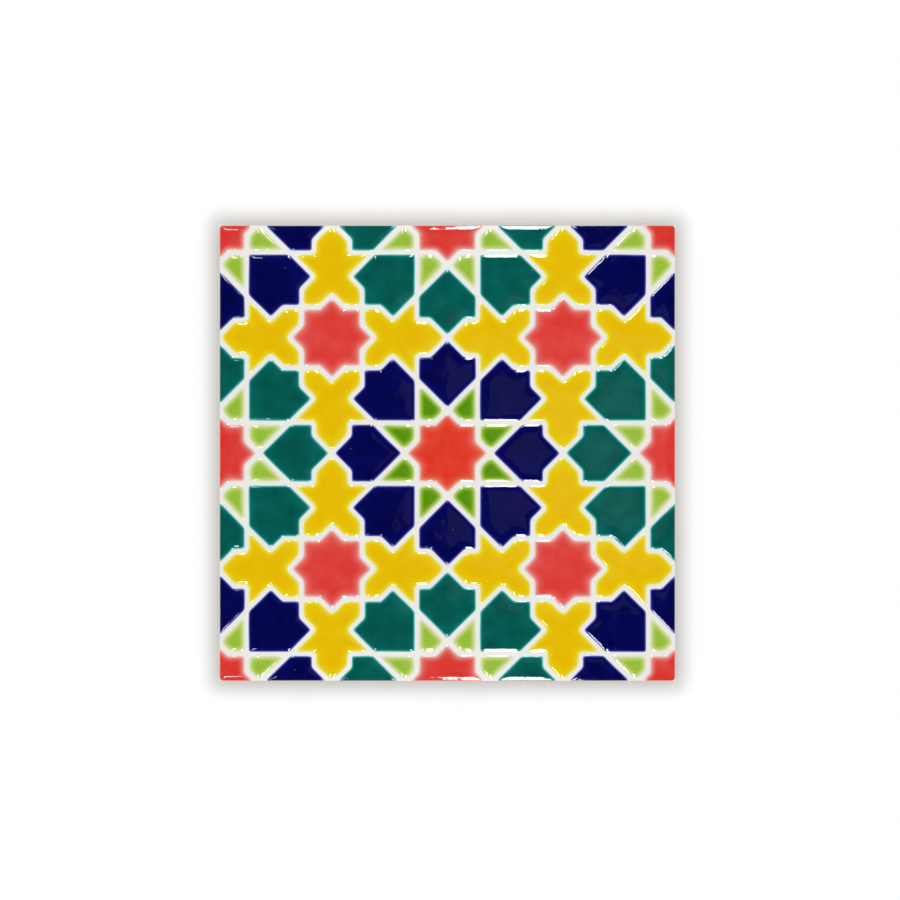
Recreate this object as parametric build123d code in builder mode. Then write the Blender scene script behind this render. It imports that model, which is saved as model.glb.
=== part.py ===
"""Square haft rang wall tile: a pressed body whose face carries raised pools of coloured glaze.

The pools follow a lattice of eight-pointed stars. Each pool is one cell of that lattice, drawn in by
half a line all round, so that a bare white line of even width runs between any two pools.
The tile lies on its back with the face up, centred on the origin.
"""

import os
from math import sqrt

from build123d import *

# Body, in millimetres
TILE_SIDE = 200.0  # face, edge to edge
BODY_THICKNESS = 8.0  # back to the white ground of the face
DRAFT_HEIGHT = 5.0  # lower part of the sides, which leans in towards the back
DRAFT_ANGLE = 2.0  # degrees
ARRIS_RADIUS = 1.0  # rounded edge round the face
BACK_CHAMFER = 0.6  # broken edge round the back

# Keying grooves pressed into the back, which hold the mortar
KEY_COUNT = 6
KEY_PITCH = 28.0
KEY_LENGTH = 168.0
KEY_WIDTH = 14.0
KEY_DEPTH = 0.8

# Glaze pattern
JOINT = 3.0  # mortar joint that the pattern runs across from tile to tile
STAR_HALF_SIDE = 13.4  # star centre to one of its flat sides
LINE_WIDTH = 2.6  # bare white line between two pools
GLAZE_RISE = 0.6  # top of a pool above the white ground
SHOULDER_WIDTH = 1.4  # sloping rim of a pool, seen from above
SHOULDER_DROP = 0.4  # height that the rim falls

# Lengths that follow from the star, which is two equal squares turned 45 degrees
REPEAT = (TILE_SIDE + JOINT) / 2  # star to star along a row
MIDWAY = REPEAT / 2
STAR_TIP = STAR_HALF_SIDE * sqrt(2)  # star centre to a point
STAR_NOTCH = STAR_HALF_SIDE * (sqrt(2) - 1)  # notch, measured off the star's axis
STAR_EDGE = STAR_HALF_SIDE * (2 - sqrt(2))  # one of the sixteen edges
CROSSING = STAR_HALF_SIDE * (1 + sqrt(2))  # where lines carried on from two sides of a star cross


def glaze_pool(cell):
    """Return one pool of glaze standing on the white ground, for a cell of the lattice."""
    with BuildPart() as pool:
        with BuildSketch(Plane.XY.offset(BODY_THICKNESS)):
            add(cell)
            offset(amount=-LINE_WIDTH / 2, kind=Kind.INTERSECTION, mode=Mode.REPLACE)
        extrude(amount=GLAZE_RISE)
        top = pool.faces().sort_by(Axis.Z)[-1]
        chamfer(top.edges(), length=SHOULDER_WIDTH, length2=SHOULDER_DROP, reference=top)
    return pool.part


# Cells of the lattice, each drawn about the centre of the star that it belongs to
with BuildSketch() as star_cell:
    Rectangle(2 * STAR_HALF_SIDE, 2 * STAR_HALF_SIDE)
    Rectangle(2 * STAR_HALF_SIDE, 2 * STAR_HALF_SIDE, rotation=45)

with BuildSketch() as kite_cell:
    Polygon(
        (STAR_HALF_SIDE, STAR_NOTCH),
        (STAR_TIP, 0),
        (CROSSING, STAR_HALF_SIDE),
        (STAR_HALF_SIDE, STAR_HALF_SIDE),
        align=None,
    )

with BuildSketch() as row_petal_cell:
    with BuildLine():
        Polyline(
            (STAR_TIP, 0),
            (CROSSING, STAR_HALF_SIDE),
            (MIDWAY - STAR_EDGE, STAR_HALF_SIDE),
            (MIDWAY - STAR_EDGE, STAR_EDGE),
            (MIDWAY, 0),
        )
        mirror(about=Plane.XZ)
    make_face()

with BuildSketch() as diagonal_petal_cell:
    with BuildLine():
        Polyline(
            (STAR_HALF_SIDE, STAR_HALF_SIDE),
            (CROSSING, STAR_HALF_SIDE),
            (MIDWAY - STAR_EDGE, MIDWAY - STAR_EDGE - STAR_TIP),
            (MIDWAY - STAR_HALF_SIDE, MIDWAY - STAR_HALF_SIDE - STAR_EDGE),
            (MIDWAY - STAR_HALF_SIDE, MIDWAY - STAR_HALF_SIDE),
        )
        mirror(about=Plane(origin=(0, 0, 0), x_dir=(1, 1, 0), z_dir=(1, -1, 0)))
    make_face()

with BuildSketch() as cross_cell:
    with BuildLine():
        Polyline(
            (0, STAR_TIP),
            (STAR_NOTCH, STAR_HALF_SIDE),
            (STAR_HALF_SIDE, STAR_HALF_SIDE),
            (STAR_HALF_SIDE, STAR_HALF_SIDE + STAR_EDGE),
            (STAR_EDGE, STAR_EDGE + STAR_TIP),
            (MIDWAY - CROSSING, MIDWAY - STAR_HALF_SIDE),
            (STAR_EDGE, MIDWAY - STAR_HALF_SIDE),
            (STAR_EDGE, MIDWAY - STAR_EDGE),
            (0, MIDWAY),
        )
        mirror(about=Plane.YZ)
    make_face()

star = glaze_pool(star_cell.sketch)
kite = glaze_pool(kite_cell.sketch)
row_petal = glaze_pool(row_petal_cell.sketch)
diagonal_petal = glaze_pool(diagonal_petal_cell.sketch)
cross = glaze_pool(cross_cell.sketch)

# Room that the tile is trimmed to, with the rounded edge round its face
with BuildPart() as envelope:
    with BuildSketch(Plane.XY.offset(DRAFT_HEIGHT)) as outline:
        Rectangle(TILE_SIDE, TILE_SIDE)
    extrude(amount=BODY_THICKNESS + GLAZE_RISE - DRAFT_HEIGHT)
    extrude(outline.sketch, amount=-DRAFT_HEIGHT, taper=DRAFT_ANGLE)
    fillet(envelope.faces().sort_by(Axis.Z)[-1].edges(), radius=ARRIS_RADIUS)
    chamfer(envelope.faces().sort_by(Axis.Z)[0].edges(), length=BACK_CHAMFER)

with BuildPart() as tile:
    with BuildSketch():
        Rectangle(TILE_SIDE, TILE_SIDE)
    extrude(amount=BODY_THICKNESS)
    with GridLocations(REPEAT, REPEAT, 3, 3):
        add(star)
        with PolarLocations(0, 8):
            add(kite)
        with PolarLocations(0, 4):
            add(row_petal)
            add(diagonal_petal)
    with GridLocations(REPEAT, REPEAT, 2, 2):
        add(star)
        with PolarLocations(0, 4):
            add(cross)
    add(envelope.part, mode=Mode.INTERSECT)
    with BuildSketch():
        with GridLocations(0, KEY_PITCH, 1, KEY_COUNT):
            SlotOverall(KEY_LENGTH, KEY_WIDTH)
    extrude(amount=KEY_DEPTH, mode=Mode.SUBTRACT)

tile.part.label = "tile"
os.makedirs("parts", exist_ok=True)
export_step(tile.part, "parts/tile.step")
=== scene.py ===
"""Looks of a square haft rang wall tile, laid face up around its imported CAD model.

A biscuit body with a white glazed face carries raised pools of coloured glaze. The pools fill the
cells of a lattice of eight-pointed stars, and the white ground shows as even lines between them.
Each glaze lets the white ground show through where it thins out towards the foot of a pool.
All lengths are in metres.
"""

import math
from collections import namedtuple

import bmesh
import bpy
from bpy.props import EnumProperty, FloatProperty, FloatVectorProperty, IntProperty, PointerProperty
from mathutils import Color, Matrix, Vector, noise
from mathutils.geometry import intersect_point_line


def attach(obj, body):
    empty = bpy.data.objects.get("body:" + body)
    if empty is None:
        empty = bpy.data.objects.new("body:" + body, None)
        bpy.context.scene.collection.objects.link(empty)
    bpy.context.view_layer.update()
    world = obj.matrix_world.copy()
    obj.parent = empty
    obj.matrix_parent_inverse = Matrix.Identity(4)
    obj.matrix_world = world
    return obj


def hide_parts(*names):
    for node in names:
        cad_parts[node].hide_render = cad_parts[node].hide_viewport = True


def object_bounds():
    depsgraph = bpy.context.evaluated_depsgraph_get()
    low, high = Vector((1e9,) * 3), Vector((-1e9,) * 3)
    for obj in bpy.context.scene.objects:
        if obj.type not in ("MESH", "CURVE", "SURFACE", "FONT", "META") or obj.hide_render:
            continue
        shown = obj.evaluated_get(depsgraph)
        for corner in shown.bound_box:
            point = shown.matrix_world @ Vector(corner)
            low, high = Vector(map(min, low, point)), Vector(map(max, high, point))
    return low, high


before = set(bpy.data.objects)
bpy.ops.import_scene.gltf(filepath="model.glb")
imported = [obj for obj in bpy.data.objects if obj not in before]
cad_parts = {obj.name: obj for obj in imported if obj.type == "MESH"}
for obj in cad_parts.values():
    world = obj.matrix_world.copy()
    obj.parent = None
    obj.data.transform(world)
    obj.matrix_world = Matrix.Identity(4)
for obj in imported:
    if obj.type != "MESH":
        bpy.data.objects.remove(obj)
CAD_LOW, CAD_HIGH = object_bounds()

bl_info = {
    "name": "Haft Rang Tile",
    "version": (1, 0, 0),
    "blender": (4, 5, 0),
    "location": "View3D > Sidebar > Tile",
    "description": "Models a glazed star-lattice wall tile and the stage that it is shown on",
    "category": "Object",
}

BODY = "root"
NODE = "tile"

MM = 0.001
FULL_TURN = math.radians(360)
FULL_CHANNEL = 255
TOUCH = MM / 100  # points closer than this count as touching
WHITE = (1.0, 1.0, 1.0)
ORIGIN = (0.0, 0.0, 0.0)

# Attribute that carries the strength of a glaze, from 0 at a white line to 1 in the pool
DEPTH = "glaze_depth"

# Turned copies that fill a whole turn
QUARTERS = 4
STAR_POINTS = 8

# Form of the pools
SHOULDER_RINGS = (0.14, 0.45, 1.0)  # shares of the shoulder's width
HIDDEN_RINGS = 2  # underside and foot wall, which come before the shoulder
WAVER_SEED = 7  # lets the outlines stray alike in every run
SHORT_SIDE = 1.5 * MM  # sides that the tile's edge cuts shorter than this close up to a point
FEWEST_PIECES = 2  # of a side, once it is divided
ROUNDING_LEVEL = 1

# Form of the body's edges
ARRIS_SEGMENTS = 4
CHAMFER_SEGMENTS = 1
GROOVE_END_SEGMENTS = 8
GROOVE_END_SHARE = 0.97  # of half a groove's width, so that two round corners don't meet
SHARP_ANGLE = math.radians(35)

# Finish of the glazes
GLASS_IOR = 1.6
LEAST_LIGHT = 0.0004  # darkest that a glaze may be in any channel
SLOW_START = 1.5  # power that keeps a glaze pale a little longer at its foot
CLOUD_LENGTH = 9 * MM
CLOUD_SHARE = 0.5  # how far clouds thin or thicken a glaze
GLOSS_LENGTH = 5 * MM
GLOSS_ROUGHNESS = (0.03, 0.06)
SWELL_LENGTH = 7 * MM
SWELL_HEIGHT = 0.1 * MM
PEEL_LENGTH = 1.4 * MM
PEEL_HEIGHT = 0.008 * MM
PIT_SPACING = 26 * MM
PIT_RADIUS = 0.35 * MM
PIT_DEPTH = 0.08 * MM

# Finish of the body
STRAY_LENGTH = 12 * MM  # along the ragged lower edge of the white ground
STRAY_HEIGHT = 2.4 * MM
FEATHER = 0.2 * MM  # half the width of that edge
GROG_LENGTH = 0.7 * MM
GROG_SPREAD = (0.56, 0.7)  # noise levels between which grains show
STAIN_LENGTH = 25 * MM
STAIN_SHARE = 0.35
GROUND_ROUGHNESS = 0.22
BISCUIT_ROUGHNESS = 0.85
GRAIN_LENGTH = 0.5 * MM
GRAIN_HEIGHT = 0.15 * MM
GROUND_GRAIN = 0.06  # share of the grain that the white ground keeps

# Finish of the floor and of the black cloth overhead
FLOOR_ROUGHNESS = 0.9
FLOOR_GRAIN = 3 * MM
FLOOR_GRAIN_HEIGHT = 0.01 * MM
CLOTH_BLACK = (0.002, 0.002, 0.002)
CLOTH_ROUGHNESS = 1.0
CLOTH_GRAIN = 2 * MM
CLOTH_GRAIN_HEIGHT = 0.1 * MM

# Noise levels that most of a surface lies between
NOISE_SPREAD = (0.3, 0.7)
PLAIN_DETAIL = 2.0
FINE_DETAIL = 4.0

# Image that the camera frames, in pixels, and the tile's place in it
IMAGE_WIDTH = 900
TILE_SPAN = 455.8
TILE_CENTRE = (447.4, 453.2)


def srgb(red, green, blue):
    """Return a colour of 0 to 255 per channel as linear light."""
    shares = [channel / FULL_CHANNEL for channel in (red, green, blue)]
    return tuple(Color(shares).from_srgb_to_scene_linear())


def length(name, description, millimetres):
    """Return a length property whose default is given in millimetres."""
    return FloatProperty(name=name, description=description, default=millimetres * MM,
                         unit="LENGTH", precision=5)


def colour(name, description, red, green, blue):
    """Return a colour property whose default is given as 0 to 255 per channel."""
    return FloatVectorProperty(name=name, description=description, default=srgb(red, green, blue),
                               size=3, min=0.0, max=1.0, subtype="COLOR")


def level(name, description, default):
    """Return a property for the brightness of a light, where 1 shows as white."""
    return FloatProperty(name=name, description=description, default=default, min=0.0, precision=3)


class TileBodySettings(bpy.types.PropertyGroup):
    """Sizes and colours of the biscuit body."""

    side: FloatProperty(name="Side", description="Edge of the square face", unit="LENGTH",
                        default=CAD_HIGH.x - CAD_LOW.x)
    height: length("Height", "Back to the white ground of the face", 8.0)
    arris: length("Arris", "Rounding round the white ground", 0.4)
    draft_height: length("Draft height", "Lower part of the sides, which leans in", 5.0)
    draft_angle: FloatProperty(name="Draft angle", description="Lean of the lower sides",
                               subtype="ANGLE", default=math.radians(2.0))
    back_chamfer: length("Back chamfer", "Broken edge round the back", 0.6)
    key_count: IntProperty(name="Keying grooves", description="Grooves in the back", default=6,
                           min=1)
    key_pitch: length("Groove pitch", "Groove to groove", 28.0)
    key_length: length("Groove length", "End to end of a groove", 168.0)
    key_width: length("Groove width", "Side to side of a groove", 14.0)
    key_depth: length("Groove depth", "Depth of a groove", 0.8)
    ground_run: length("Ground run", "How far the white ground runs down the sides", 2.2)
    ground: colour("White ground", "Glaze that shows as lines between the pools", 245, 243, 237)
    biscuit: colour("Biscuit", "Bare fired clay of the sides and back", 226, 211, 190)
    biscuit_grog: colour("Biscuit grog", "Darker grains in the fired clay", 190, 163, 134)


class LatticeSettings(bpy.types.PropertyGroup):
    """Sizes of the star lattice and of the pools in its cells."""

    joint: length("Joint", "Mortar joint that the lattice runs across", 3.0)
    star_half_side: length("Star half side", "Star centre to one of its flat sides", 13.4)
    line_width: length("Line width", "Bare white ground between the feet of two pools", 1.35)
    shoulder: length("Shoulder", "Rounded rim of a pool, seen from above", 2.8)
    edge_margin: length("Edge margin", "Pools stop this far inside the sides", 0.05)
    foot_depth: length("Foot depth", "How far a pool reaches into the ground", 0.5)
    foot_ring: length("Foot ring", "Width of the ring under a pool", 0.5)
    waver: length("Waver", "How far hand work lets the outline of a pool stray", 0.16)
    waver_length: length("Waver length", "Length over which the outline strays", 11.0)
    petal_fade: length("Petal fade", "Rim over which a petal's colour builds up", 1.7)
    cross_fade: length("Cross fade", "Rim over which a cross's colour builds up", 2.6)
    star_fade: length("Star fade", "Rim over which a star's colour builds up", 3.6)
    kite_fade: length("Kite fade", "Rim over which a kite's colour builds up", 3.6)
    petal_rounding: length("Petal rounding", "How much of a side a petal's corners round off", 1.7)
    cross_rounding: length("Cross rounding", "How much of a side a cross's corners round off", 3.8)
    star_rounding: length("Star rounding", "How much of a side a star's corners round off", 1.8)
    kite_rounding: length("Kite rounding", "How much of a side a kite's corners round off", 4.6)


class GlazeSettings(bpy.types.PropertyGroup):
    """Colours of the glazes where they are thick."""

    navy: colour("Navy", "Petals round the centre and corner stars", 2, 3, 80)
    teal: colour("Teal", "Petals round the stars at the edges", 1, 91, 83)
    yellow: colour("Yellow", "Crosses between the stars", 239, 194, 1)
    red: colour("Red", "Outer and inner stars", 228, 59, 53)
    vermilion: colour("Vermilion", "Star in the centre", 231, 52, 34)
    lime: colour("Lime", "Kites round the outer stars", 152, 193, 56)
    green: colour("Green", "Kites round the centre star", 84, 145, 8)


class StageSettings(bpy.types.PropertyGroup):
    """Floor, lights and camera."""

    floor_side: length("Floor side", "Edge of the square floor", 40000.0)
    floor: colour("Floor", "Pale floor", 225, 225, 225)
    # The floor's glow fades out towards the tile over the shade reach, so the floor round the tile
    # is darker by painted shade as well as by the tile's real shadow
    floor_glow: level("Floor glow", "Lifts the floor to white outside the tile's shadow", 0.28)
    painted_shade_reach: length("Shadow reach", "Width of floor that keeps the tile's shadow", 11.0)
    far_start: length("Far start", "Distance from which the floor glows by itself", 250.0)
    far_end: length("Far end", "Distance at which the floor needs no other light", 1200.0)
    softbox_level: level("Softbox level", "Brightness of the softboxes and strips", 19.0)
    sheen_level: level("Sheen level", "Brightness of the panel overhead", 0.11)
    fill_level: level("Fill level", "Light that the room gives from all sides", 0.96)
    flag_height: length("Flag height", "Height of the black flag that glaze mirrors", 1700.0)
    flag_side: length("Flag side", "Edge of the square black flag", 4400.0)
    lens: FloatProperty(name="Lens", description="Focal length of the camera", default=85.0,
                        min=1.0, unit="CAMERA")


# Soft lights that glint in the glaze and face the tile: place, size and the setting for brightness
LightPanel = namedtuple("LightPanel", "name place size level")
LIGHT_PANELS = (
    LightPanel("north_softbox", (0.045, 0.55, 0.52), (0.085, 0.5), "softbox_level"),
    LightPanel("south_softbox", (0.045, -0.55, 0.52), (0.085, 0.5), "softbox_level"),
    LightPanel("north_west_strip", (-0.337, 0.755, 1.26), (0.06, 0.5), "softbox_level"),
    LightPanel("south_west_strip", (-0.337, -0.755, 1.26), (0.06, 0.5), "softbox_level"),
    LightPanel("sheen_panel", (0.15, 0.0, 1.4), (0.27, 0.33), "sheen_level"),
)


def star_lengths(lattice, side):
    """Return the lengths that follow from the star, two equal squares turned by 45 degrees."""
    half_side = lattice.star_half_side
    repeat = (side + lattice.joint) / 2
    return {
        "half_side": half_side,
        "repeat": repeat,
        "midway": repeat / 2,
        "tip": half_side * math.sqrt(2),
        "notch": half_side * (math.sqrt(2) - 1),
        "edge": half_side * (2 - math.sqrt(2)),
        "crossing": half_side * (1 + math.sqrt(2)),
    }


def mirrored(half_outline, flip):
    """Return a closed outline from one half of it and a function that flips a point across."""
    inner_points = half_outline[1:-1]
    return half_outline + [flip(point) for point in reversed(inner_points)]


def turned_copies(outline, centre, count):
    """Return copies of an outline turned evenly about a star's centre."""
    copies = []
    for index in range(count):
        turn = Matrix.Rotation(index * FULL_TURN / count, 2)
        copies.append([centre + turn @ point for point in outline])
    return copies


def star_outline(size):
    """Return the outline of an eight-pointed star about its centre."""
    quarter = [
        Vector((size["tip"], 0)),
        Vector((size["half_side"], size["notch"])),
        Vector((size["half_side"], size["half_side"])),
        Vector((size["notch"], size["half_side"])),
    ]
    return [point for copy in turned_copies(quarter, Vector((0, 0)), QUARTERS) for point in copy]


def kite_outline(size):
    """Return the outline of the kite beside a star."""
    return [
        Vector((size["half_side"], size["notch"])),
        Vector((size["tip"], 0)),
        Vector((size["crossing"], size["half_side"])),
        Vector((size["half_side"], size["half_side"])),
    ]


def row_petal_outline(size):
    """Return the outline of the petal that points along a row to the next star."""
    neck = size["midway"] - size["edge"]
    half = [
        Vector((size["midway"], 0)),
        Vector((neck, size["edge"])),
        Vector((neck, size["half_side"])),
        Vector((size["crossing"], size["half_side"])),
        Vector((size["tip"], 0)),
    ]
    return mirrored(half, lambda point: Vector((point.x, -point.y)))


def diagonal_petal_outline(size):
    """Return the outline of the petal that points to the star in the middle of four."""
    corner = size["midway"] - size["half_side"]
    neck = size["midway"] - size["edge"]
    half = [
        Vector((size["half_side"], size["half_side"])),
        Vector((size["crossing"], size["half_side"])),
        Vector((neck, neck - size["tip"])),
        Vector((corner, corner - size["edge"])),
        Vector((corner, corner)),
    ]
    return mirrored(half, lambda point: Vector((point.y, point.x)))


def cross_outline(size):
    """Return the outline of the cross that stands on a star in the middle of four."""
    arm = size["midway"] - size["half_side"]
    half = [
        Vector((0, size["tip"])),
        Vector((size["notch"], size["half_side"])),
        Vector((size["half_side"], size["half_side"])),
        Vector((size["half_side"], size["half_side"] + size["edge"])),
        Vector((size["edge"], size["edge"] + size["tip"])),
        Vector((size["midway"] - size["crossing"], arm)),
        Vector((size["edge"], arm)),
        Vector((size["edge"], size["midway"] - size["edge"])),
        Vector((0, size["midway"])),
    ]
    return mirrored(half, lambda point: Vector((-point.x, point.y)))


def outer_stars(repeat):
    """Return the centres of the stars in the middle, on the edges and at the corners."""
    return [Vector((column * repeat, row * repeat)) for column in (-1, 0, 1) for row in (-1, 0, 1)]


def inner_stars(repeat):
    """Return the centres of the stars that stand in the middle of four others."""
    midway = repeat / 2
    return [Vector((column * midway, row * midway)) for column in (-1, 1) for row in (-1, 1)]


def is_centre_star(centre):
    """Tell whether a star is the one in the centre of the tile."""
    return centre.length < TOUCH


def is_edge_star(centre):
    """Tell whether an outer star is on the middle of an edge."""
    return (abs(centre.x) > TOUCH) != (abs(centre.y) > TOUCH)


def star_cells(size, in_centre):
    """Return the star in the centre, or all other stars of the tile."""
    return [copy
            for centre in outer_stars(size["repeat"]) + inner_stars(size["repeat"])
            if is_centre_star(centre) == in_centre
            for copy in turned_copies(star_outline(size), centre, 1)]


def cross_cells(size):
    """Return every cross of the tile."""
    return [copy
            for centre in inner_stars(size["repeat"])
            for copy in turned_copies(cross_outline(size), centre, QUARTERS)]


def petal_cells(size, round_edge_stars):
    """Return the petals round the stars at the edges, or round all other outer stars."""
    return [copy
            for centre in outer_stars(size["repeat"])
            if is_edge_star(centre) == round_edge_stars
            for outline in (row_petal_outline(size), diagonal_petal_outline(size))
            for copy in turned_copies(outline, centre, QUARTERS)]


def kite_cells(size, round_centre):
    """Return the kites round the centre star, or round all other outer stars."""
    return [copy
            for centre in outer_stars(size["repeat"])
            if is_centre_star(centre) == round_centre
            for copy in turned_copies(kite_outline(size), centre, STAR_POINTS)]


# Each glaze, with the kind of cell that it fills and which of those cells
Glaze = namedtuple("Glaze", "kind cells")
GLAZES = {
    "navy": Glaze("petal", lambda size: petal_cells(size, False)),
    "teal": Glaze("petal", lambda size: petal_cells(size, True)),
    "yellow": Glaze("cross", cross_cells),
    "red": Glaze("star", lambda size: star_cells(size, False)),
    "vermilion": Glaze("star", lambda size: star_cells(size, True)),
    "lime": Glaze("kite", lambda size: kite_cells(size, False)),
    "green": Glaze("kite", lambda size: kite_cells(size, True)),
}


def new_mesh(name, form):
    """Return a mesh made from a finished bmesh, which is freed."""
    mesh = bpy.data.meshes.new(name)
    form.to_mesh(mesh)
    form.free()
    return mesh


def everything(form):
    """Return all points, edges and faces of a bmesh."""
    return form.verts[:] + form.edges[:] + form.faces[:]


def distance_to_side(point, side):
    """Return how far a point lies from one straight side of a pool."""
    start, end = side
    foot, share = intersect_point_line(point, start, end)
    if share < 0:
        foot = start
    elif share > 1:
        foot = end
    return (point - foot).length


def crown(distance, width):
    """Return the share of its full value that a pool reaches at a distance from its foot."""
    return 1 - (1 - min(1.0, distance / width)) ** 2


def stack_of_edges(foot_edge, underside, count):
    """Return the edges that lie one above another on a side of a pool, from underside to crown."""
    loop = next(loop for loop in foot_edge.link_loops if loop.face is not underside)
    stack = [foot_edge]
    for _ in range(count):
        loop = loop.link_loop_next.link_loop_next
        stack.append(loop.edge)
        loop = loop.link_loop_radial_next
    return stack


class PoolMaker:
    """Makes the pools of one glaze, one cell of the lattice at a time."""

    def __init__(self, scene, kind, phase):
        body = scene.tile_body
        self.lattice = scene.tile_lattice
        self.fade = getattr(self.lattice, f"{kind}_fade")
        self.rounding = getattr(self.lattice, f"{kind}_rounding")
        self.half = body.side / 2 - self.lattice.edge_margin
        self.foot = body.height - self.lattice.foot_depth
        self.rise = CAD_HIGH.z - body.height
        self.phase = phase
        noise.seed_set(WAVER_SEED)

    def make(self, outline):
        """Return the mesh of one pool, or None where its cell lies outside the tile."""
        pool = bmesh.new()
        pool.faces.new([pool.verts.new((point.x, point.y, self.foot)) for point in outline])
        self.draw_in(pool)
        self.trim(pool)
        if not pool.faces:
            pool.free()
            return None
        line_sides = self.line_sides(pool)
        self.raise_crown(pool)
        self.write_depth(pool, line_sides)
        self.let_stray(pool)
        return new_mesh("pool", pool)

    def draw_in(self, pool):
        """Draw the outline of a pool in from its cell by half a white line."""
        pool.normal_update()
        ring = bmesh.ops.inset_individual(pool, faces=pool.faces[:], use_even_offset=True,
                                          thickness=self.lattice.line_width / 2)
        bmesh.ops.delete(pool, geom=ring["faces"], context="FACES")

    def trim(self, pool):
        """Cut away what lies past the four edges of the tile."""
        for direction in ((1, 0, 0), (-1, 0, 0), (0, 1, 0), (0, -1, 0)):
            outward = Vector(direction)
            bmesh.ops.bisect_plane(pool, geom=everything(pool), plane_co=outward * self.half,
                                   plane_no=outward, clear_outer=True)
        short = [edge for edge in pool.edges if edge.calc_length() < SHORT_SIDE]
        bmesh.ops.collapse(pool, edges=short)

    def is_on_edge(self, vert):
        """Tell whether a point of a pool lies on an edge of the tile."""
        return max(abs(vert.co.x), abs(vert.co.y)) > self.half - TOUCH

    def line_sides(self, pool):
        """Return the ends of the sides of a flat pool that run along a white line."""
        return [tuple(vert.co.xy for vert in edge.verts)
                for edge in pool.edges
                if not all(self.is_on_edge(vert) for vert in edge.verts)]

    def raise_crown(self, pool):
        """Turn the flat outline of a pool into a closed, crowned form that stands in the ground."""
        underside = next(iter(pool.faces))
        grown = bmesh.ops.extrude_face_region(pool, geom=[underside] + underside.edges[:],
                                              use_keep_orig=True)
        top = next(item for item in grown["geom"] if isinstance(item, bmesh.types.BMFace))
        bmesh.ops.translate(pool, vec=(0, 0, self.lattice.foot_depth), verts=top.verts[:])
        pool.normal_update()
        bmesh.ops.inset_individual(pool, faces=[underside], thickness=self.lattice.foot_ring,
                                   use_even_offset=True)
        shoulder = self.lattice.shoulder
        rings = [share * shoulder for share in SHOULDER_RINGS]
        for inner, outer in zip(rings, [0.0] + rings):
            climb = self.rise * (crown(inner, shoulder) - crown(outer, shoulder))
            bmesh.ops.inset_individual(pool, faces=[top], thickness=inner - outer, depth=climb,
                                       use_even_offset=True)
        count = HIDDEN_RINGS + len(rings)
        stacks = [stack_of_edges(edge, underside, count) for edge in underside.edges]
        for stack in stacks:
            longest = max(edge.calc_length() for edge in stack)
            pieces = max(FEWEST_PIECES, round(longest / self.rounding))
            bmesh.ops.subdivide_edges(pool, edges=stack, cuts=pieces - 1)
        bmesh.ops.recalc_face_normals(pool, faces=pool.faces[:])

    def write_depth(self, pool, line_sides):
        """Store how strong the colour is at each point, by its distance to a white line."""
        layer = pool.verts.layers.float.new(DEPTH)
        for vert in pool.verts:
            nearest = min(distance_to_side(vert.co.xy, side) for side in line_sides)
            vert[layer] = crown(nearest, self.fade) ** SLOW_START

    def let_stray(self, pool):
        """Let the outline of a pool stray a little, as hand work does."""
        for vert in pool.verts:
            if self.is_on_edge(vert):
                continue
            drift = noise.noise_vector(vert.co / self.lattice.waver_length + self.phase)
            vert.co.x += drift.x * self.lattice.waver
            vert.co.y += drift.y * self.lattice.waver


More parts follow.
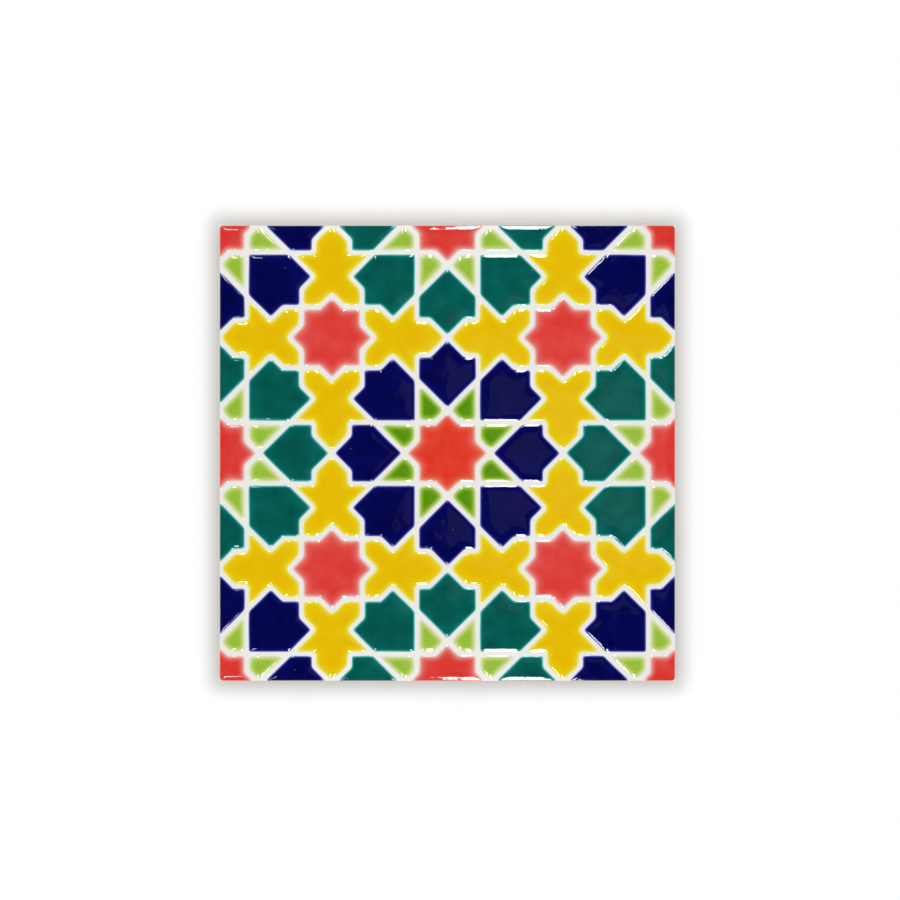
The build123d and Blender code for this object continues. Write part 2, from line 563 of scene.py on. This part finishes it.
class NodeBench:
    """Adds nodes to one material or world and links them."""

    def __init__(self, owner):
        owner.use_nodes = True
        self.owner = owner
        self.tree = owner.node_tree
        self.tree.nodes.clear()

    def add(self, kind, settings=None, **inputs):
        """Add a node, set its own settings and fill or link its inputs."""
        node = self.tree.nodes.new(kind)
        for key, value in (settings or {}).items():
            setattr(node, key, value)
        for key, value in inputs.items():
            self.feed(node.inputs[key.replace("_", " ")], value)
        return node

    def feed(self, socket, value):
        """Link an output to an input, or set the input's own value."""
        if isinstance(value, bpy.types.NodeSocket):
            self.tree.links.new(value, socket)
        elif socket.type == "RGBA":
            socket.default_value = (*value, 1.0)
        else:
            socket.default_value = value

    def place(self):
        """Return the place of a point in the tile's own frame."""
        return self.add("ShaderNodeTexCoord").outputs["Object"]

    def combine(self, node, values):
        """Feed values to the inputs of a node in order, and return its result."""
        for socket, value in zip(node.inputs, values):
            self.feed(socket, value)
        return node.outputs[0]

    def math(self, operation, *values):
        """Return the result of a sum on numbers or sockets."""
        return self.combine(self.add("ShaderNodeMath", {"operation": operation}), values)

    def vector(self, operation, *values):
        """Return the result of a sum on vectors or sockets."""
        return self.combine(self.add("ShaderNodeVectorMath", {"operation": operation}), values)

    def span(self, vector):
        """Return the length of a vector."""
        node = self.add("ShaderNodeVectorMath", {"operation": "LENGTH"}, Vector=vector)
        return node.outputs["Value"]

    def noise(self, grain, detail=PLAIN_DETAIL):
        """Return smooth noise whose features are about one grain long."""
        node = self.add("ShaderNodeTexNoise", Vector=self.place(), Scale=1 / grain, Detail=detail)
        return node.outputs[0]

    def pits(self, spacing, radius):
        """Return a height that falls to 0 in small round pits, about one to each spacing."""
        cells = self.add("ShaderNodeTexVoronoi", {"voronoi_dimensions": "2D"}, Vector=self.place(),
                         Scale=1 / spacing)
        return self.ramp(cells.outputs["Distance"], (0.0, radius / spacing))

    def ramp(self, value, spread, result=(0.0, 1.0)):
        """Return a value carried smoothly from one range to another."""
        node = self.add("ShaderNodeMapRange", {"interpolation_type": "SMOOTHSTEP"})
        return self.combine(node, (value, *spread, *result))

    def mix(self, share, first, second):
        """Return a colour between two colours."""
        node = self.add("ShaderNodeMix", {"data_type": "RGBA"})
        self.feed(node.inputs["Factor"], share)
        self.feed(node.inputs["A"], first)
        self.feed(node.inputs["B"], second)
        return node.outputs["Result"]

    def bump(self, height, distance, under=None):
        """Return the surface direction after a bump of that height, laid over another bump."""
        node = self.add("ShaderNodeBump", Height=height, Distance=distance)
        if under is not None:
            self.feed(node.inputs["Normal"], under)
        return node.outputs[0]

    def shown(self):
        """Return 1 where the camera sees the surface itself, in a gloss or through glass."""
        path = self.add("ShaderNodeLightPath").outputs
        mirrored = self.math("MAXIMUM", path["Is Glossy Ray"], path["Is Transmission Ray"])
        return self.math("MAXIMUM", path["Is Camera Ray"], mirrored)

    def close(self, shader, output):
        """End the tree with a shader and return the material or world that it belongs to."""
        end = self.add(output)
        self.tree.links.new(shader.outputs[0], end.inputs["Surface"])
        return self.owner

    def surface(self, base_colour, roughness, normal, glow=0.0):
        """End a material with a glossy or matt surface, which may glow white."""
        shader = self.add("ShaderNodeBsdfPrincipled", Base_Color=base_colour, Roughness=roughness,
                          Normal=normal, IOR=GLASS_IOR, Emission_Strength=glow)
        return self.close(shader, "ShaderNodeOutputMaterial")


def glaze_material(name, deep, ground):
    """Return a glaze that takes up more light the thicker it lies on the white ground."""
    bench = NodeBench(bpy.data.materials.new(f"{name}_glaze"))
    depth = bench.add("ShaderNodeAttribute", {"attribute_name": DEPTH}).outputs["Fac"]
    clouds = bench.noise(CLOUD_LENGTH, FINE_DETAIL)
    clouded = bench.math("MULTIPLY_ADD", clouds, CLOUD_SHARE, 1 - CLOUD_SHARE / 2)
    thickness = bench.math("MULTIPLY", depth, clouded)
    taken = [max(channel, LEAST_LIGHT) / white for channel, white in zip(deep, ground)]
    tint = bench.vector("MULTIPLY", bench.vector("POWER", taken, thickness), ground)
    roughness = bench.ramp(bench.noise(GLOSS_LENGTH), NOISE_SPREAD, GLOSS_ROUGHNESS)
    swell = bench.bump(bench.noise(SWELL_LENGTH), SWELL_HEIGHT)
    peel = bench.bump(bench.noise(PEEL_LENGTH), PEEL_HEIGHT, swell)
    pitted = bench.bump(bench.pits(PIT_SPACING, PIT_RADIUS), PIT_DEPTH, peel)
    return bench.surface(tint, roughness, pitted)


def body_material(settings):
    """Return white ground glaze over the face, which ends on the sides in bare biscuit."""
    bench = NodeBench(bpy.data.materials.new("ground_and_biscuit"))
    height = bench.add("ShaderNodeSeparateXYZ", Vector=bench.place()).outputs["Z"]
    ragged = bench.math("MULTIPLY_ADD", bench.noise(STRAY_LENGTH), STRAY_HEIGHT, height)
    edge = settings.height - settings.ground_run + STRAY_HEIGHT / 2
    glazed = bench.ramp(ragged, (edge - FEATHER, edge + FEATHER))
    grog = bench.ramp(bench.noise(GROG_LENGTH, FINE_DETAIL), GROG_SPREAD)
    stain = bench.ramp(bench.noise(STAIN_LENGTH, FINE_DETAIL), NOISE_SPREAD, (0.0, STAIN_SHARE))
    clay = bench.mix(bench.math("MAXIMUM", grog, stain), settings.biscuit, settings.biscuit_grog)
    tint = bench.mix(glazed, clay, settings.ground)
    roughness = bench.ramp(glazed, (0.0, 1.0), (BISCUIT_ROUGHNESS, GROUND_ROUGHNESS))
    keep = bench.ramp(glazed, (0.0, 1.0), (1.0, GROUND_GRAIN))
    grain = bench.math("MULTIPLY", bench.noise(GRAIN_LENGTH, FINE_DETAIL), keep)
    return bench.surface(tint, roughness, bench.bump(grain, GRAIN_HEIGHT))


def shown_object(name, mesh, material):
    """Put a finished mesh in the scene with its material."""
    mesh.name = name
    mesh.materials.append(material)
    item = bpy.data.objects.new(name, mesh)
    bpy.context.scene.collection.objects.link(item)
    return item


def shown_piece(name, mesh, material):
    """Put a finished mesh in the scene as a smooth piece that rides on the tile."""
    for polygon in mesh.polygons:
        polygon.use_smooth = True
    piece = shown_object(name, mesh, material)
    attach(piece, BODY)
    return piece


def break_edge(body, height, offset, segments):
    """Round or chamfer the edges that lie all at one height."""
    edges = [edge for edge in body.edges
             if all(abs(vert.co.z - height) < TOUCH for vert in edge.verts)]
    bmesh.ops.bevel(body, geom=edges, offset=offset, offset_type="OFFSET", affect="EDGES",
                    segments=segments, profile=0.5, material=-1)


def press_slab(body, settings):
    """Press the slab: straight sides at the face, leaning in below, with both edges broken."""
    bmesh.ops.create_cube(body, size=1.0)
    bmesh.ops.scale(body, vec=(settings.side, settings.side, settings.height), verts=body.verts)
    bmesh.ops.translate(body, vec=(0, 0, settings.height / 2), verts=body.verts)
    bmesh.ops.bisect_plane(body, geom=everything(body), plane_co=(0, 0, settings.draft_height),
                           plane_no=(0, 0, 1))
    back = [vert for vert in body.verts if vert.co.z < TOUCH]
    lean = 1 - settings.draft_height * math.tan(settings.draft_angle) / (settings.side / 2)
    bmesh.ops.scale(body, vec=(lean, lean, 1), verts=back)
    break_edge(body, settings.height, settings.arris, ARRIS_SEGMENTS)
    break_edge(body, 0.0, settings.back_chamfer, CHAMFER_SEGMENTS)


def press_keys(body, settings):
    """Press the keying grooves with round ends into the back."""
    half_length = settings.key_length / 2
    half_width = settings.key_width / 2
    first = -settings.key_pitch * (settings.key_count - 1) / 2
    middles = [first + index * settings.key_pitch for index in range(settings.key_count)]
    cuts = [(Vector((x, 0, 0)), Vector((1, 0, 0))) for x in (-half_length, half_length)]
    cuts += [(Vector((0, middle + offset, 0)), Vector((0, 1, 0)))
             for middle in middles
             for offset in (-half_width, half_width)]
    for point, direction in cuts:
        back = [face for face in body.faces if face.calc_center_median().z < TOUCH]
        edges = list(dict.fromkeys(edge for face in back for edge in face.edges))
        verts = list(dict.fromkeys(vert for face in back for vert in face.verts))
        bmesh.ops.bisect_plane(body, geom=back + edges + verts, plane_co=point, plane_no=direction)
    floors = []
    for face in body.faces:
        middle = face.calc_center_median()
        in_groove = any(abs(middle.y - groove) < half_width for groove in middles)
        if middle.z < TOUCH and abs(middle.x) < half_length and in_groove:
            floors.append(face)
    pressed = bmesh.ops.extrude_discrete_faces(body, faces=floors)["faces"]
    bmesh.ops.translate(body, vec=(0, 0, settings.key_depth),
                        verts=[vert for face in pressed for vert in face.verts])
    corners = [edge for edge in body.edges
               if (edge.verts[0].co - edge.verts[1].co).xy.length < TOUCH
               and max(vert.co.z for vert in edge.verts) < settings.key_depth + TOUCH]
    bmesh.ops.bevel(body, geom=corners, offset=half_width * GROOVE_END_SHARE, offset_type="OFFSET",
                    affect="EDGES", segments=GROOVE_END_SEGMENTS, profile=0.5, material=-1)


class TILE_OT_biscuit_body(bpy.types.Operator):
    """Model the biscuit body with its white face and keyed back"""

    bl_idname = "tile.biscuit_body"
    bl_label = "Biscuit Body"

    def execute(self, context):
        settings = context.scene.tile_body
        body = bmesh.new()
        press_slab(body, settings)
        press_keys(body, settings)
        bmesh.ops.recalc_face_normals(body, faces=body.faces[:])
        piece = shown_piece("biscuit_body", new_mesh("biscuit_body", body), body_material(settings))
        piece.data.set_sharp_from_angle(angle=SHARP_ANGLE)
        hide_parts(NODE)
        return {"FINISHED"}


class TILE_OT_glaze_pools(bpy.types.Operator):
    """Model every pool of one glaze on the white face"""

    bl_idname = "tile.glaze_pools"
    bl_label = "Glaze Pools"

    glaze: EnumProperty(name="Glaze", description="Glaze whose pools are modelled",
                        items=[(name, name.title(), f"Pools of {name} glaze") for name in GLAZES],
                        default="navy")

    def execute(self, context):
        name = f"{self.glaze}_pools"
        body = context.scene.tile_body
        glaze = GLAZES[self.glaze]
        phase = Vector((0, 0, list(GLAZES).index(self.glaze)))
        maker = PoolMaker(context.scene, glaze.kind, phase)
        pools = bmesh.new()
        for outline in glaze.cells(star_lengths(context.scene.tile_lattice, body.side)):
            mesh = maker.make(outline)
            if mesh is not None:
                pools.from_mesh(mesh)
                bpy.data.meshes.remove(mesh)
        if not pools.faces:
            raise RuntimeError(f"no pool of {self.glaze} glaze lies on the tile")
        deep = getattr(context.scene.tile_glazes, self.glaze)
        material = glaze_material(self.glaze, deep, body.ground)
        piece = shown_piece(name, new_mesh(name, pools), material)
        rounding = piece.modifiers.new("Rounding", "SUBSURF")
        rounding.levels = ROUNDING_LEVEL
        rounding.render_levels = ROUNDING_LEVEL
        return {"FINISHED"}


def flat_sheet(name, side, height):
    """Return a level square mesh at a height over the tile's back."""
    sheet = bmesh.new()
    bmesh.ops.create_grid(sheet, x_segments=1, y_segments=1, size=side / 2)
    bmesh.ops.translate(sheet, vec=(0, 0, height), verts=sheet.verts)
    return new_mesh(name, sheet)


def add_floor(settings, half):
    """Add the pale floor that the tile lies on, whose glow turns it white away from the tile but
    fades out towards the tile, so that painted shade adds to the tile's real shadow round it.
    """
    bench = NodeBench(bpy.data.materials.new("floor"))
    beyond = bench.vector("SUBTRACT", bench.vector("ABSOLUTE", bench.place()), (half, half, 0.0))
    reach = bench.span(bench.vector("MAXIMUM", beyond, ORIGIN))
    # Painted shade: the glow fades to nothing at the tile's edge, which darkens the floor round the
    # tile on top of its real shadow
    near = bench.ramp(reach, (0.0, settings.painted_shade_reach), (0.0, settings.floor_glow))
    far = bench.ramp(reach, (settings.far_start, settings.far_end))
    glow = bench.math("MULTIPLY", bench.shown(), bench.math("MAXIMUM", near, far))
    grain = bench.bump(bench.noise(FLOOR_GRAIN), FLOOR_GRAIN_HEIGHT)
    material = bench.surface(settings.floor, FLOOR_ROUGHNESS, grain, glow)
    sheet = flat_sheet("floor", settings.floor_side, 0.0)
    shown_object("floor", sheet, material)


def add_flag(settings):
    """Hang a wide black flag overhead, so that glaze seen from above mirrors no haze."""
    bench = NodeBench(bpy.data.materials.new("black_cloth"))
    weave = bench.bump(bench.noise(CLOTH_GRAIN), CLOTH_GRAIN_HEIGHT)
    material = bench.surface(CLOTH_BLACK, CLOTH_ROUGHNESS, weave)
    sheet = flat_sheet("flag", settings.flag_side, settings.flag_height)
    flag = shown_object("flag", sheet, material)
    flag.visible_camera = False
    flag.visible_diffuse = False


def add_light(panel, radiance):
    """Add a soft rectangular light that faces the tile and shows only as glints in its glaze."""
    lamp = bpy.data.lights.new(panel.name, "AREA")
    lamp.shape = "RECTANGLE"
    lamp.size, lamp.size_y = panel.size
    lamp.energy = radiance * math.pi * lamp.size * lamp.size_y
    light = bpy.data.objects.new(panel.name, lamp)
    light.visible_diffuse = False
    light.location = panel.place
    light.rotation_euler = (-Vector(panel.place)).to_track_quat("-Z", "Y").to_euler()
    bpy.context.scene.collection.objects.link(light)


def add_room(settings):
    """Light the room evenly, and show it white to the camera and in gloss."""
    bench = NodeBench(bpy.data.worlds.new("room"))
    strength = bench.math("MAXIMUM", bench.shown(), settings.fill_level)
    background = bench.add("ShaderNodeBackground", Color=WHITE, Strength=strength)
    bpy.context.scene.world = bench.close(background, "ShaderNodeOutputWorld")


def add_camera(settings, side, top):
    """Look straight down on the tile, framed as in the photograph."""
    data = bpy.data.cameras.new("camera")
    data.lens = settings.lens
    camera = bpy.data.objects.new("camera", data)
    scale = side / TILE_SPAN
    distance = IMAGE_WIDTH * scale * data.lens / data.sensor_width
    middle = IMAGE_WIDTH / 2
    column, row = TILE_CENTRE
    camera.location = ((middle - column) * scale, (row - middle) * scale, top + distance)
    bpy.context.scene.collection.objects.link(camera)
    bpy.context.scene.camera = camera


class TILE_OT_stage(bpy.types.Operator):
    """Set up the floor, the lights and the camera"""

    bl_idname = "tile.stage"
    bl_label = "Stage"

    def execute(self, context):
        settings = context.scene.tile_stage
        half = context.scene.tile_body.side / 2
        add_floor(settings, half)
        add_flag(settings)
        add_room(settings)
        for panel in LIGHT_PANELS:
            add_light(panel, getattr(settings, panel.level))
        add_camera(settings, 2 * half, CAD_HIGH.z)
        context.scene.view_settings.view_transform = "Standard"
        return {"FINISHED"}


class TILE_PT_sidebar(bpy.types.Panel):
    """Lists the pieces of the tile and their sizes"""

    bl_idname = "TILE_PT_sidebar"
    bl_label = "Haft Rang Tile"
    bl_space_type = "VIEW_3D"
    bl_region_type = "UI"
    bl_category = "Tile"

    def list_settings(self, group):
        """List every setting of a group."""
        for key in group.__annotations__:
            self.layout.prop(group, key)

    def draw(self, context):
        scene = context.scene
        self.layout.operator(TILE_OT_biscuit_body.bl_idname)
        self.list_settings(scene.tile_body)
        for glaze in GLAZES:
            button = self.layout.operator(TILE_OT_glaze_pools.bl_idname,
                                          text=f"{glaze.title()} Pools")
            button.glaze = glaze
        self.list_settings(scene.tile_lattice)
        self.list_settings(scene.tile_glazes)
        self.layout.operator(TILE_OT_stage.bl_idname)
        self.list_settings(scene.tile_stage)


CLASSES = (
    TileBodySettings,
    LatticeSettings,
    GlazeSettings,
    StageSettings,
    TILE_OT_biscuit_body,
    TILE_OT_glaze_pools,
    TILE_OT_stage,
    TILE_PT_sidebar,
)


def register():
    """Add the settings, operators and panel."""
    for kind in CLASSES:
        bpy.utils.register_class(kind)
    bpy.types.Scene.tile_body = PointerProperty(type=TileBodySettings)
    bpy.types.Scene.tile_lattice = PointerProperty(type=LatticeSettings)
    bpy.types.Scene.tile_glazes = PointerProperty(type=GlazeSettings)
    bpy.types.Scene.tile_stage = PointerProperty(type=StageSettings)


def unregister():
    """Take away what register adds."""
    del bpy.types.Scene.tile_stage
    del bpy.types.Scene.tile_glazes
    del bpy.types.Scene.tile_lattice
    del bpy.types.Scene.tile_body
    for kind in reversed(CLASSES):
        bpy.utils.unregister_class(kind)


def main():
    """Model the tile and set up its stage."""
    register()
    bpy.ops.tile.biscuit_body()
    for glaze in GLAZES:
        bpy.ops.tile.glaze_pools(glaze=glaze)
    bpy.ops.tile.stage()


if __name__ == "__main__":
    main()
